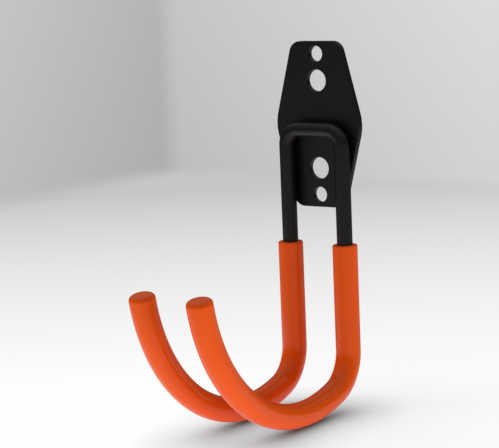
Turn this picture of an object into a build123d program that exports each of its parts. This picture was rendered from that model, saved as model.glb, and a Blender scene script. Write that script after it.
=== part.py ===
from build123d import *
from math import asin, cos, degrees, radians, sin
import os

# Wall hook for bikes: a stamped wall plate, one rod bent to both arms, and a soft sleeve on each arm
# The origin is the centre of the plate's back face, X runs across, Y into the wall and Z up, in millimetres

# Wall plate, a long six-sided outline whose widths are taken before its corners are rounded
plate_height = 106.0
plate_middle_width = 64.0
plate_end_width = 36.0
plate_thickness = 4.0
plate_side_corner_radius = 30.0
plate_end_corner_radius = 8.0
plate_front_edge_radius = 0.5
plate_back_edge_chamfer = 0.3

# Fixing holes on the plate's middle line, each size once above and once below the rod's crossbar
small_hole_diameter = 10.0
small_hole_end_distance = 8.0
large_hole_diameter = 14.0
large_hole_end_distance = 25.0

# Rod, bent from one straight bar, with its bend radii taken to the rod's axis
rod_diameter = 10.0
arm_spacing = 41.2
crossbar_drop = 2.7
crossbar_bend_radius = 10.0
leg_length = 131.0
seat_bend_radius = 25.0
seat_bend_angle = 71.75
arm_bend_radius = 108.0
arm_bend_angle = 96.75
rod_tip_length = 1.0
rod_tip_chamfer = 0.6

# Sleeves, open at the leg and closed over the rod's tip
sleeve_clearance = 0.1
sleeve_wall = 2.9
sleeve_end_wall = 3.0
sleeve_drop_below_plate = 22.5
sleeve_open_end_radius = 1.0
sleeve_closed_end_radius = 3.0

# Weld bead in the groove under the crossbar, measured out from the line where rod and plate touch
weld_root_distance = 1.5
weld_toe_distance = 5.5
weld_rod_angle = 55.0
weld_crown = 0.35
weld_end_gap = 0.8
weld_end_radius = 1.0

# Places and sizes that follow from the values above
rod_radius = rod_diameter / 2
rod_axis_y = -(plate_thickness + rod_radius)
arm_x = arm_spacing / 2
crossbar_half_length = arm_x - crossbar_bend_radius
leg_top_z = -crossbar_drop - crossbar_bend_radius
leg_bottom_z = leg_top_z - leg_length
sleeve_bore_radius = rod_radius + sleeve_clearance
sleeve_radius = sleeve_bore_radius + sleeve_wall
sleeve_top_z = -plate_height / 2 - sleeve_drop_below_plate
sleeve_bore_tip_length = rod_tip_length + sleeve_clearance
sleeve_tip_length = sleeve_bore_tip_length + sleeve_end_wall

arm_plane = Plane(origin=(arm_x, rod_axis_y, 0), x_dir=(0, 1, 0), z_dir=(1, 0, 0))
crossbar_plane = Plane(origin=(0, rod_axis_y, 0), x_dir=(1, 0, 0), z_dir=(0, -1, 0))


def arm_lines(start_z, tip_length):
    # Axis of the right arm: down the leg from start_z, round the seat, along the long arc and straight to the tip
    leg = Line((0, start_z), (0, leg_bottom_z))
    seat = JernArc(leg @ 1, leg % 1, seat_bend_radius, -seat_bend_angle)
    reach = JernArc(seat @ 1, seat % 1, arm_bend_radius, -arm_bend_angle)
    tip = Line(reach @ 1, reach @ 1 + (reach % 1) * tip_length)
    return [arm_plane * line for line in (leg, seat, reach, tip)]


def round_bar(path, radius):
    # Solid of round section along a path, which starts square to it
    section = Plane(origin=path @ 0, z_dir=path % 0) * Circle(radius)
    return sweep(section, path=path)


def end_rim(bar, path, end):
    # Edges round the flat face of a bar at one end of its path
    return bar.faces().sort_by_distance(path @ end)[0].edges()


def make_wall_plate():
    half_height = plate_height / 2
    half_end = plate_end_width / 2
    half_middle = plate_middle_width / 2
    corners = [(half_end, half_height), (half_middle, 0), (half_end, -half_height)]
    corners += [(-x, z) for x, z in reversed(corners)]
    outline = make_face(Polyline(*corners, close=True))
    side_corners = outline.vertices().filter_by(lambda corner: abs(corner.Y) < 0.1)
    outline = fillet(side_corners, plate_side_corner_radius)
    end_corners = outline.vertices().filter_by(lambda corner: abs(corner.Y) > half_height - 0.1)
    outline = fillet(end_corners, plate_end_corner_radius)
    for diameter, end_distance in (
        (small_hole_diameter, small_hole_end_distance),
        (large_hole_diameter, large_hole_end_distance),
    ):
        for side in (-1, 1):
            outline -= Pos(0, side * (half_height - end_distance)) * Circle(diameter / 2)
    plate = extrude(Plane.XZ * outline, plate_thickness)
    plate = fillet(plate.edges().group_by(Axis.Y)[0], plate_front_edge_radius)
    return chamfer(plate.edges().group_by(Axis.Y)[-1], plate_back_edge_chamfer)


def make_hook_rod():
    crossbar = Line((-crossbar_half_length, -crossbar_drop), (crossbar_half_length, -crossbar_drop))
    corner = JernArc(crossbar @ 1, crossbar % 1, crossbar_bend_radius, -90)
    right_side = [crossbar_plane * corner] + arm_lines(leg_top_z, rod_tip_length)
    left_side = [mirror(line, about=Plane.YZ) for line in right_side]
    path = Wire([line.edge() for line in left_side + [crossbar_plane * crossbar] + right_side])
    rod = round_bar(path, rod_radius)
    return chamfer(end_rim(rod, path, 0) + end_rim(rod, path, 1), rod_tip_chamfer)


def make_right_sleeve():
    outer_path = Wire([line.edge() for line in arm_lines(sleeve_top_z, sleeve_tip_length)])
    bore_path = Wire([line.edge() for line in arm_lines(sleeve_top_z, sleeve_bore_tip_length)])
    sleeve = round_bar(outer_path, sleeve_radius)
    sleeve = fillet(end_rim(sleeve, outer_path, 0), sleeve_open_end_radius)
    sleeve = fillet(end_rim(sleeve, outer_path, 1), sleeve_closed_end_radius)
    return sleeve - round_bar(bore_path, sleeve_bore_radius)


def make_weld_bead():
    # Section across the groove: first number down from the touching line, second out from the plate's face
    def on_rod(angle):
        return rod_radius * sin(radians(angle)), rod_radius * (1 - cos(radians(angle)))

    root_angle = degrees(asin(weld_root_distance / rod_radius))
    plate_root = (weld_root_distance, 0)
    plate_toe = (weld_toe_distance, 0)
    rod_toe = on_rod(weld_rod_angle)
    rod_root = on_rod(root_angle)
    crown = SagittaArc(rod_toe, plate_toe, weld_crown)
    seat = ThreePointArc(rod_toe, on_rod((weld_rod_angle + root_angle) / 2), rod_root)
    section = make_face([Line(plate_root, plate_toe), crown, seat, Line(rod_root, plate_root)])
    half_length = crossbar_half_length - weld_end_gap
    groove = Plane(origin=(half_length, -plate_thickness, -crossbar_drop), x_dir=(0, 0, -1), z_dir=(-1, 0, 0))
    bead = extrude(groove * section, 2 * half_length)
    crown_face = bead.faces().sort_by(Axis((0, 0, 0), (0, -1, -1)))[-1]
    return fillet(crown_face.edges().filter_by(GeomType.CIRCLE), weld_end_radius)


right_sleeve = make_right_sleeve()
pieces = {
    "wall_plate": make_wall_plate(),
    "hook_rod": make_hook_rod(),
    "weld_bead": make_weld_bead(),
    "right_sleeve": right_sleeve,
    "left_sleeve": mirror(right_sleeve, about=Plane.YZ),
}

os.makedirs("parts", exist_ok=True)
for name, piece in pieces.items():
    export_step(piece, f"parts/{name}.step")
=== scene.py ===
import math
import bpy
import numpy as np
from mathutils import Matrix, Vector


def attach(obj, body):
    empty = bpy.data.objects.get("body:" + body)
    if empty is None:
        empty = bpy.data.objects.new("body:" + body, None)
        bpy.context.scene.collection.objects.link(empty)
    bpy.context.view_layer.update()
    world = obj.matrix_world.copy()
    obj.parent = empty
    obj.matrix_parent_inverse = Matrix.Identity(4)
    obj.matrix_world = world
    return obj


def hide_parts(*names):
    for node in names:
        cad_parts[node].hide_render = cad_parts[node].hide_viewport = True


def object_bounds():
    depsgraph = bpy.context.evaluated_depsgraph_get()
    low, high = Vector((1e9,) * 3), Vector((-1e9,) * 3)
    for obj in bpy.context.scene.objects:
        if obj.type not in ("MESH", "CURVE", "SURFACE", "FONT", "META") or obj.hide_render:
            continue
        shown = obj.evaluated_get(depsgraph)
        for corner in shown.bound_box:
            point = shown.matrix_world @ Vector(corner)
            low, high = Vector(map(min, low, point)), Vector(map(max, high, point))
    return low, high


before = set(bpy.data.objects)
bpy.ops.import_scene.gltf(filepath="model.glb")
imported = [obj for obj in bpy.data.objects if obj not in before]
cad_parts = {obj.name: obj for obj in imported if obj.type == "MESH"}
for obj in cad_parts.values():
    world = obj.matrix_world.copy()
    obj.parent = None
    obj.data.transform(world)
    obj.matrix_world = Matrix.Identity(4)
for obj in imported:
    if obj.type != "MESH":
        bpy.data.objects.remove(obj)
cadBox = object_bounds()
scene = bpy.context.scene
scene.view_settings.view_transform = "Standard"
rangeSockets = ("From Min", "From Max", "To Min", "To Max")  # a Map Range node's, filled by pairs of values
print("frame loaded")


def toLinear(hexColour):
    # sRGB hex to linear red, green, blue and alpha
    values = [int(hexColour[i:i + 2], 16) / 255 for i in (1, 3, 5)]
    return [v / 12.92 if v <= 0.04045 else ((v + 0.055) / 1.055) ** 2.4 for v in values] + [1.0]


def addNode(tree, kind, settings=None, links=None):
    # Adds a node: settings are sockets by name or number, or attributes; links are sockets fed by an output
    node = tree.nodes.new(kind)
    for key, value in (settings or {}).items():
        if isinstance(key, int) or key in node.inputs:
            node.inputs[key].default_value = value
        else:
            setattr(node, key, value)
    for key, source in (links or {}).items():
        tree.links.new(source, node.inputs[key])
    return node


def newMaterial(name):
    material = bpy.data.materials.new(name)
    material.use_nodes = True
    material.node_tree.nodes.clear()
    return material, material.node_tree


# Camera, at the viewing angle of the photograph
cameraSettings = {
    "place": (0.63286, -0.98793, 0.11698),  # metres from the middle of the plate's back face
    "turn": 34.998,                         # degrees round from straight in front, to the right
    "tilt": -8.715,                         # degrees up from level
    "roll": -2.353,                         # degrees anticlockwise, seen from behind the camera
    "focalPixels": 1842.1,
    "widthPixels": 499,
    "sensorWidth": 36.0,                    # millimetres
    "clip": (0.05, 50.0),                   # metres to the nearest and the farthest thing drawn
}


def makeCamera(settings):
    turn, tilt, roll = (math.radians(settings[k]) for k in ("turn", "tilt", "roll"))
    forward = Vector((-math.sin(turn) * math.cos(tilt), math.cos(turn) * math.cos(tilt), math.sin(tilt)))
    right = Vector((math.cos(turn), math.sin(turn), 0))
    up = right.cross(forward)
    rolledRight = math.cos(roll) * right + math.sin(roll) * up
    rolledUp = -math.sin(roll) * right + math.cos(roll) * up
    data = bpy.data.cameras.new("camera")
    data.sensor_fit = "HORIZONTAL"
    data.sensor_width = settings["sensorWidth"]
    data.lens = settings["focalPixels"] * settings["sensorWidth"] / settings["widthPixels"]
    data.clip_start, data.clip_end = settings["clip"]
    camera = bpy.data.objects.new("camera", data)
    turned = Matrix((rolledRight, rolledUp, -forward)).transposed().to_4x4()
    camera.matrix_world = Matrix.Translation(settings["place"]) @ turned
    scene.collection.objects.link(camera)
    scene.camera = camera


makeCamera(cameraSettings)
print("camera placed")

# Level directions in the photograph, straight back and to the right. The room keeps them in every other view
photoTurn = math.radians(cameraSettings["turn"])
photoBack = (-math.sin(photoTurn), math.cos(photoTurn), 0)
photoRight = (math.cos(photoTurn), math.sin(photoTurn), 0)

# Floor: a pale sheet that ends behind the hook and to its left, where the room's walls would stand
floorSettings = {
    "gap": 0.0003,           # metres between the floor and the hook's lowest point
    "left": -0.86,           # metres from the hook to each end of the sheet
    "right": 4.0,
    "front": -4.0,
    "back": 0.96,
    "gridPoints": 9,         # along each side of the sheet
    "endFade": 0.07,         # metres either side of the back and left ends over which the sheet fades away
    "nearColour": "#fefefe",
    "farColour": "#c6c6c6",
    "greying": (0.05, 1.05),         # metres back from the hook between which the one turns into the other
    "contactShadow": (0.04, 1.0),    # metres within which the hook darkens the floor, and the shade's power
    "sideShadow": (0.45, 0.56),      # the same for a longer, fainter shade
    "sideLean": (-0.62, -0.5, 0.6),  # direction of the light that the longer one lacks
    "shadowSamples": 16,
    "litShare": 0.03,        # part of the shown floor that comes from the lamps, with their own shadows
    "litLift": 1.9,          # colour of that part, as a multiple of the shown floor's
    "mirrorMiddle": (-0.08, -0.08),  # a reflection of the floor is nearly white round here
    "mirrorReach": (0.1, 0.3),       # and dims between these distances from it
    "mirrorTone": (0.9, 0.34),
    "bounceColour": "#f4f4f4",
    "glow": (0.92, 0.0),             # light added to what the floor throws up, before the hook and behind it
    "glowPlace": (-0.25, 0.25),      # metres back from the hook between which it falls off
}
floorHeight = cadBox[0].z - floorSettings["gap"]


def makeFloor(settings):
    # Level grid over the sheet and its faded ends
    points, fade = settings["gridPoints"], settings["endFade"]
    x, y = np.meshgrid(np.linspace(settings["left"] - fade, settings["right"], points),
                       np.linspace(settings["front"], settings["back"] + fade, points))
    z = np.full_like(x, floorHeight)
    index = np.arange(x.size).reshape(x.shape)
    faces = np.stack([index[:-1, :-1], index[:-1, 1:], index[1:, 1:], index[1:, :-1]], axis=-1).reshape(-1, 4)
    mesh = bpy.data.meshes.new("floor")
    mesh.from_pydata(np.stack([x, y, z], axis=-1).reshape(-1, 3).tolist(), [], faces.tolist())
    floor = bpy.data.objects.new("floor", mesh)
    scene.collection.objects.link(floor)
    return floor


def shadeFloor(tree, settings):
    # Painted shadow of the hook on the floor: how open each spot is straight up, close round the hook,
    # times how open it is towards one side, each raised to its power
    lean = addNode(tree, "ShaderNodeCombineXYZ", dict(enumerate(settings["sideLean"])))
    shades = []
    for shadow, facing in (("contactShadow", {}), ("sideShadow", {"Normal": lean.outputs[0]})):
        reach, power = settings[shadow]
        openness = addNode(tree, "ShaderNodeAmbientOcclusion",
                           {"Distance": reach, "samples": settings["shadowSamples"]}, facing)
        shade = addNode(tree, "ShaderNodeMath", {"operation": "POWER", 1: power}, {0: openness.outputs["AO"]})
        shades.append(shade.outputs[0])
    return addNode(tree, "ShaderNodeMath", {"operation": "MULTIPLY"}, dict(enumerate(shades))).outputs[0]


def paintFloor(floor, settings):
    # Matt white board that greys with distance, with no pattern of its own, and a painted shadow of the hook
    material, tree = newMaterial("matPaleSheet")
    material.cycles.emission_sampling = "NONE"  # rays find the glowing floor by themselves
    place = addNode(tree, "ShaderNodeTexCoord").outputs["Object"]
    back = addNode(tree, "ShaderNodeVectorMath", {"operation": "DOT_PRODUCT", 1: photoBack},
                   {0: place}).outputs["Value"]
    greying = addNode(tree, "ShaderNodeMapRange", dict(zip(rangeSockets, settings["greying"])),
                      {"Value": back})
    shown = addNode(tree, "ShaderNodeMix", {"data_type": "RGBA", 6: toLinear(settings["nearColour"]),
                                            7: toLinear(settings["farColour"])},
                    {0: greying.outputs["Result"]}).outputs[2]
    shade = shadeFloor(tree, settings)

    # Seen straight on: mostly its own white, dimmed by the hook's painted shadow, partly the lamps' light
    plain = addNode(tree, "ShaderNodeEmission", links={"Color": shown, "Strength": shade})
    litColour = addNode(tree, "ShaderNodeVectorMath", {"operation": "SCALE", "Scale": settings["litLift"]},
                        {0: shown})
    lit = addNode(tree, "ShaderNodeBsdfDiffuse", links={"Color": litColour.outputs[0]})
    seen = addNode(tree, "ShaderNodeMixShader", {0: settings["litShare"]},
                   {1: plain.outputs[0], 2: lit.outputs[0]})

    # Seen in a reflection: a painted glow, white near the hook, dim towards the ends of the room, and the
    # painted shadow
    middle = (*settings["mirrorMiddle"], floorHeight)
    away = addNode(tree, "ShaderNodeVectorMath", {"operation": "DISTANCE", 1: middle}, {0: place})
    dimmed = addNode(tree, "ShaderNodeMapRange",
                     dict(zip(rangeSockets, settings["mirrorReach"] + settings["mirrorTone"])),
                     {"Value": away.outputs["Value"]})
    shaded = addNode(tree, "ShaderNodeMath", {"operation": "MULTIPLY"},
                     {0: dimmed.outputs["Result"], 1: shade})
    mirrored = addNode(tree, "ShaderNodeEmission", links={"Color": shown, "Strength": shaded.outputs[0]})

    # Light thrown back on the hook: the matt floor's bounce, plus a painted glow that the floor gives off
    matt = addNode(tree, "ShaderNodeBsdfDiffuse", {"Color": toLinear(settings["bounceColour"])})
    glow = addNode(tree, "ShaderNodeMapRange",
                   dict(zip(rangeSockets, settings["glowPlace"] + settings["glow"])), {"Value": back})
    glowing = addNode(tree, "ShaderNodeEmission", links={"Strength": glow.outputs["Result"]})
    bounceAndGlow = addNode(tree, "ShaderNodeAddShader", links={0: matt.outputs[0], 1: glowing.outputs[0]})

    # Which of the three a ray meets
    ray = addNode(tree, "ShaderNodeLightPath")
    straight = addNode(tree, "ShaderNodeMath", {"operation": "MAXIMUM"},
                       {0: ray.outputs["Is Camera Ray"], 1: ray.outputs["Is Transmission Ray"]})
    reflected = addNode(tree, "ShaderNodeMixShader",
                        links={0: ray.outputs["Is Glossy Ray"], 1: bounceAndGlow.outputs[0], 2: mirrored.outputs[0]})
    surface = addNode(tree, "ShaderNodeMixShader",
                      links={0: straight.outputs[0], 1: reflected.outputs[0], 2: seen.outputs[0]})

    # The sheet fades away over its left and back ends
    split = addNode(tree, "ShaderNodeSeparateXYZ", links={0: place})
    fade, left, end = settings["endFade"], settings["left"], settings["back"]
    there = [addNode(tree, "ShaderNodeMapRange",
                     {"interpolation_type": "SMOOTHSTEP", "From Min": gone, "From Max": full},
                     {"Value": split.outputs[axis]}).outputs["Result"]
             for axis, gone, full in (("X", left - fade, left + fade), ("Y", end + fade, end - fade))]
    whole = addNode(tree, "ShaderNodeMath", {"operation": "MULTIPLY"}, dict(enumerate(there)))
    clear = addNode(tree, "ShaderNodeBsdfTransparent")
    faded = addNode(tree, "ShaderNodeMixShader",
                    links={0: whole.outputs[0], 1: clear.outputs[0], 2: surface.outputs[0]})
    addNode(tree, "ShaderNodeOutputMaterial", links={"Surface": faded.outputs[0]})
    floor.data.materials.append(material)


floor = makeFloor(floorSettings)
paintFloor(floor, floorSettings)
print("floor made")

# Soft studio light, with places, aims and sizes in metres and power in watts
lightSettings = {
    "fillFromFrontLeft": {"place": (-1.5, -1.5, 0.35), "aim": (0, -0.08, -0.1), "size": 1.2, "power": 7.7},
    "fillFromRight": {"place": (2.0, -0.01, 0.1), "aim": (0, -0.01, -0.08), "size": 0.6, "power": 9.1},
    "highLeftLight": {"place": (-1.5, -0.3, 1.5), "aim": (0, -0.08, -0.1), "size": 1.2, "power": 17.4},
    "highBackLight": {"place": (0, 1.2, 1.7), "aim": (0, -0.08, -0.1), "size": 1.2, "power": 20.0},
}


def makeLight(name, settings):
    data = bpy.data.lights.new(name, "AREA")
    data.shape = "SQUARE"
    data.size = settings["size"]
    data.energy = settings["power"]
    light = bpy.data.objects.new(name, data)
    aim = Vector(settings["aim"]) - Vector(settings["place"])
    turned = aim.to_track_quat("-Z", "Y").to_matrix().to_4x4()
    light.matrix_world = Matrix.Translation(settings["place"]) @ turned
    light.visible_glossy = False  # reflections show the floor and the room, and no lamp
    scene.collection.objects.link(light)


# The room: faint light from overhead, a soft ceiling in reflections, and two plain walls past the floor
roomSettings = {
    "colour": "#ffffff",
    "lightStrength": (0.0, 0.03),      # what the room adds to the lamps, from eye level and from overhead
    "lightRise": (0.0, 1.0),           # heights between which that grows, as the sine of the angle
    "mirrorStrength": (0.05, 0.55),    # how bright it is in reflections, at eye level and overhead
    "mirrorRise": (0.2, 1.0),
    "leftWall": (0.56, 0.46),          # tones of the left wall, from its far end to the corner
    "leftWallSide": (-0.133, -0.045),  # how far to the photograph's right those lie, as the sine of the angle
    "rightWall": (0.56, 0.715),        # tones of the right wall, from the corner to its far end
    "rightWallSide": (-0.036, 0.131),
    "cornerSide": (-0.0455, -0.0355),
    "footShade": (0.91, 1.0),          # the walls are a little darker near the floor
    "footShadeRise": (-0.125, -0.03),
}


def makeRoom(settings):
    world = bpy.data.worlds.new("plainRoom")
    world.use_nodes = True
    tree = world.node_tree
    tree.nodes.clear()
    colour = toLinear(settings["colour"])
    ray = addNode(tree, "ShaderNodeLightPath")
    direction = addNode(tree, "ShaderNodeTexCoord").outputs["Generated"]
    height = addNode(tree, "ShaderNodeSeparateXYZ", links={0: direction}).outputs["Z"]
    side = addNode(tree, "ShaderNodeVectorMath", {"operation": "DOT_PRODUCT", 1: photoRight},
                   {0: direction}).outputs["Value"]

    # Light on the hook, and what its reflections show
    rises = [addNode(tree, "ShaderNodeMapRange",
                     dict(zip(rangeSockets, settings[use + "Rise"] + settings[use + "Strength"])),
                     {"Value": height}).outputs["Result"] for use in ("light", "mirror")]
    strength = addNode(tree, "ShaderNodeMix", {"data_type": "FLOAT"},
                       {0: ray.outputs["Is Glossy Ray"], 2: rises[0], 3: rises[1]})
    lighting = addNode(tree, "ShaderNodeBackground", {"Color": colour}, {"Strength": strength.outputs[0]})

    # The two walls, which meet in a corner
    tones = [addNode(tree, "ShaderNodeMapRange",
                     dict(zip(rangeSockets, settings[wall + "Side"] + settings[wall])),
                     {"Value": side}).outputs["Result"] for wall in ("leftWall", "rightWall")]
    corner = addNode(tree, "ShaderNodeMapRange", dict(zip(rangeSockets, settings["cornerSide"])),
                     {"Value": side})
    tone = addNode(tree, "ShaderNodeMix", {"data_type": "FLOAT"},
                   {0: corner.outputs["Result"], 2: tones[0], 3: tones[1]})
    footShade = addNode(tree, "ShaderNodeMapRange",
                        dict(zip(rangeSockets, settings["footShadeRise"] + settings["footShade"])),
                        {"Value": height})
    shaded = addNode(tree, "ShaderNodeMath", {"operation": "MULTIPLY"},
                     {0: tone.outputs[0], 1: footShade.outputs["Result"]})
    walls = addNode(tree, "ShaderNodeBackground", {"Color": colour}, {"Strength": shaded.outputs[0]})

    straight = addNode(tree, "ShaderNodeMath", {"operation": "MAXIMUM"},
                       {0: ray.outputs["Is Camera Ray"], 1: ray.outputs["Is Transmission Ray"]})
    seen = addNode(tree, "ShaderNodeMixShader",
                   links={0: straight.outputs[0], 1: lighting.outputs[0], 2: walls.outputs[0]})
    addNode(tree, "ShaderNodeOutputWorld", links={"Surface": seen.outputs[0]})
    scene.world = world


for name, settings in lightSettings.items():
    makeLight(name, settings)
makeRoom(roomSettings)
print("lights placed")


def addRelief(tree, place, layers):
    # Bumps of noise laid one on another. A layer is its width and height in metres and the noise's detail
    links = {}
    for width, height, detail in layers:
        noise = addNode(tree, "ShaderNodeTexNoise", {"Scale": 1 / width, "Detail": detail}, {"Vector": place})
        links["Height"] = noise.outputs["Fac"]
        bump = addNode(tree, "ShaderNodeBump", {"Distance": height}, links)
        links["Normal"] = bump.outputs["Normal"]
    return links["Normal"]


# Satin black powder coat: cured polyester paint on steel, a soft sheen over a very fine orange peel
powderSettings = {
    "colour": "#0c0c0c",
    "ior": 1.54,
    "roughness": (0.33, 0.43),
    "patchSize": 0.018,            # metres between slightly duller patches
    "patchDetail": 3.0,
    "relief": (
        (0.0013, 0.00002, 2.0),    # swells of the orange peel
        (0.00045, 0.000008, 1.0),  # grain, drawn coarser than it is so that it shows
    ),
}


def makePowderCoat(settings):
    # One black, duller where a slow noise is high, with bumps of two finer noises
    material, tree = newMaterial("satinPowderCoat")
    place = addNode(tree, "ShaderNodeTexCoord").outputs["Object"]
    patches = addNode(tree, "ShaderNodeTexNoise",
                      {"Scale": 1 / settings["patchSize"], "Detail": settings["patchDetail"]},
                      {"Vector": place})
    roughness = addNode(tree, "ShaderNodeMapRange",
                        {"To Min": settings["roughness"][0], "To Max": settings["roughness"][1]},
                        {"Value": patches.outputs["Fac"]})
    coat = addNode(tree, "ShaderNodeBsdfPrincipled",
                   {"Base Color": toLinear(settings["colour"]), "IOR": settings["ior"]},
                   {"Roughness": roughness.outputs["Result"],
                    "Normal": addRelief(tree, place, settings["relief"])})
    addNode(tree, "ShaderNodeOutputMaterial", links={"Surface": coat.outputs[0]})
    return material


# Soft orange vinyl: dip-moulded plasticised PVC, smooth and slightly oily, so it shines at its edges
vinylSettings = {
    "colour": "#eb5305",
    "paleColour": "#ed5707",
    "ior": 1.36,
    "roughness": (0.11, 0.19),
    "cloudSize": 0.02,             # metres between slightly paler and duller clouds
    "cloudDetail": 3.0,
    "relief": (
        (0.006, 0.00001, 1.0),     # slow swells that the mould leaves
        (0.0004, 0.0000015, 2.0),  # grain
    ),
}


def makeVinyl(settings):
    # One orange, paler and duller where a slow noise is high, with bumps of two finer noises
    material, tree = newMaterial("softOrangeVinyl")
    place = addNode(tree, "ShaderNodeTexCoord").outputs["Object"]
    clouds = addNode(tree, "ShaderNodeTexNoise",
                     {"Scale": 1 / settings["cloudSize"], "Detail": settings["cloudDetail"]},
                     {"Vector": place})
    colour = addNode(tree, "ShaderNodeMix", {"data_type": "RGBA", 6: toLinear(settings["colour"]),
                                             7: toLinear(settings["paleColour"])},
                     {0: clouds.outputs["Fac"]})
    roughness = addNode(tree, "ShaderNodeMapRange",
                        {"To Min": settings["roughness"][0], "To Max": settings["roughness"][1]},
                        {"Value": clouds.outputs["Fac"]})
    vinyl = addNode(tree, "ShaderNodeBsdfPrincipled", {"IOR": settings["ior"]},
                    {"Base Color": colour.outputs[2], "Roughness": roughness.outputs["Result"],
                     "Normal": addRelief(tree, place, settings["relief"])})
    addNode(tree, "ShaderNodeOutputMaterial", links={"Surface": vinyl.outputs[0]})
    return material


# Weld: one bead of fused steel in the groove under the crossbar, powder coated with the rest
weldSettings = {
    "face": -0.004,          # metres from the wall to the plate's front face
    "rodRadius": 0.005,
    "rodMiddle": -0.0027,    # height of the crossbar's axis
    "halfLength": 0.0098,
    "rootDepth": 0.0015,     # metres below the line where rod and plate touch
    "plateToe": 0.0055,      # metres below that line
    "rodToe": 55.0,          # degrees round the rod from that line
    "crown": 0.00035,        # metres that the bead's face bulges
    "ripplePitch": 0.0013,   # metres from one frozen ripple to the next
    "rippleDepth": 0.0001,
    "rippleBow": 0.0011,     # metres along the bead between a ripple's middle and its ends
    "toeWander": 0.0002,     # metres that both toes draw in between ripples
    "endTaper": 0.0025,      # metres over which each end runs out
    "endSize": 0.12,         # part of the section that is left at the very end
    "rings": 220,
    "sidePoints": 8,         # round each ring, on the plate and again on the rod
    "crownPoints": 28,
}


def makeWeldBead(settings):
    # Section carried along the crossbar: out along the plate, back over a bulging face with bowed ripples to
    # the rod, and round the rod to the root. The bulge is 4t(1-t) across the face, each ripple is |sin| along
    # it, and the ends shrink as a quarter circle. Down and out are from the line where rod and plate touch
    half, taper, endSize = settings["halfLength"], settings["endTaper"], settings["endSize"]
    x = np.linspace(-half, half, settings["rings"])[:, None]
    run = np.clip((np.abs(x) - half + taper) / taper, 0, 1)
    size = endSize + (1 - endSize) * np.sqrt(1 - run ** 2)
    ripple = np.abs(np.sin(np.pi * x / settings["ripplePitch"]))
    wander = settings["toeWander"] * (1 - ripple)
    root, radius = settings["rootDepth"], settings["rodRadius"]
    rootAngle = math.asin(root / radius)
    plateToe = root + size * (settings["plateToe"] - root - wander)
    rodToe = rootAngle + size * (math.radians(settings["rodToe"]) - rootAngle - wander / radius)

    # Down and out of the three sides
    along = np.linspace(0, 1, settings["sidePoints"] + 1)[None, :-1]
    plateDown = root + along * (plateToe - root)
    angle = rodToe + along * (rootAngle - rodToe)
    rodDown, rodOut = radius * np.sin(angle), radius * (1 - np.cos(angle))
    t = np.linspace(0, 1, settings["crownPoints"] + 1)[None, :-1]
    chordDown, chordOut = radius * np.sin(rodToe) - plateToe, radius * (1 - np.cos(rodToe))
    chordLength = np.hypot(chordDown, chordOut)
    bulge = 4 * t * (1 - t)
    bowed = np.abs(np.sin(np.pi * (x + settings["rippleBow"] * bulge) / settings["ripplePitch"]))
    rise = size * bulge * (settings["crown"] - settings["rippleDepth"] * (1 - bowed))
    crownDown = plateToe + t * chordDown + rise * chordOut / chordLength
    crownOut = t * chordOut - rise * chordDown / chordLength
    down = np.concatenate([plateDown, crownDown, rodDown], axis=1)
    out = np.concatenate([np.zeros_like(plateDown), crownOut, rodOut], axis=1)
    points = np.stack([np.broadcast_to(x, down.shape), settings["face"] - out,
                       settings["rodMiddle"] - down], axis=-1)

    # Faces between the rings, and a fan to a point in the middle of each end
    index = np.arange(down.size).reshape(down.shape)
    nextAround = np.roll(index, -1, axis=1)
    quads = np.stack([index[:-1], index[1:], nextAround[1:], nextAround[:-1]], axis=-1).reshape(-1, 4)
    poles = points[[0, -1]].mean(axis=1)
    firstFan = np.stack([np.full_like(index[0], down.size), index[0], nextAround[0]], axis=-1)
    lastFan = np.stack([np.full_like(index[0], down.size + 1), nextAround[-1], index[-1]], axis=-1)
    faces = quads.tolist() + firstFan.tolist() + lastFan.tolist()
    mesh = bpy.data.meshes.new("rippledWeldBead")
    mesh.from_pydata(np.concatenate([points.reshape(-1, 3), poles]).tolist(), [], faces)
    across = np.arange(down.shape[1]) - settings["sidePoints"]
    onCrown = (across >= 0) & (across < settings["crownPoints"])
    smooth = np.zeros(len(faces), bool)
    smooth[:len(quads)] = np.tile(onCrown, len(x) - 1)
    mesh.polygons.foreach_set("use_smooth", smooth)
    mesh.update()
    bead = bpy.data.objects.new("rippledWeldBead", mesh)
    scene.collection.objects.link(bead)
    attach(bead, "root")
    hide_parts("weld_bead")
    return bead


weldBead = makeWeldBead(weldSettings)
print("weld bead made")

powderCoat = makePowderCoat(powderSettings)
vinyl = makeVinyl(vinylSettings)
weldBead.data.materials.append(powderCoat)
coatings = {"wall_plate": powderCoat, "hook_rod": powderCoat, "right_sleeve": vinyl, "left_sleeve": vinyl}
for node, coating in coatings.items():
    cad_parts[node].material_slots[0].material = coating
print("materials made")
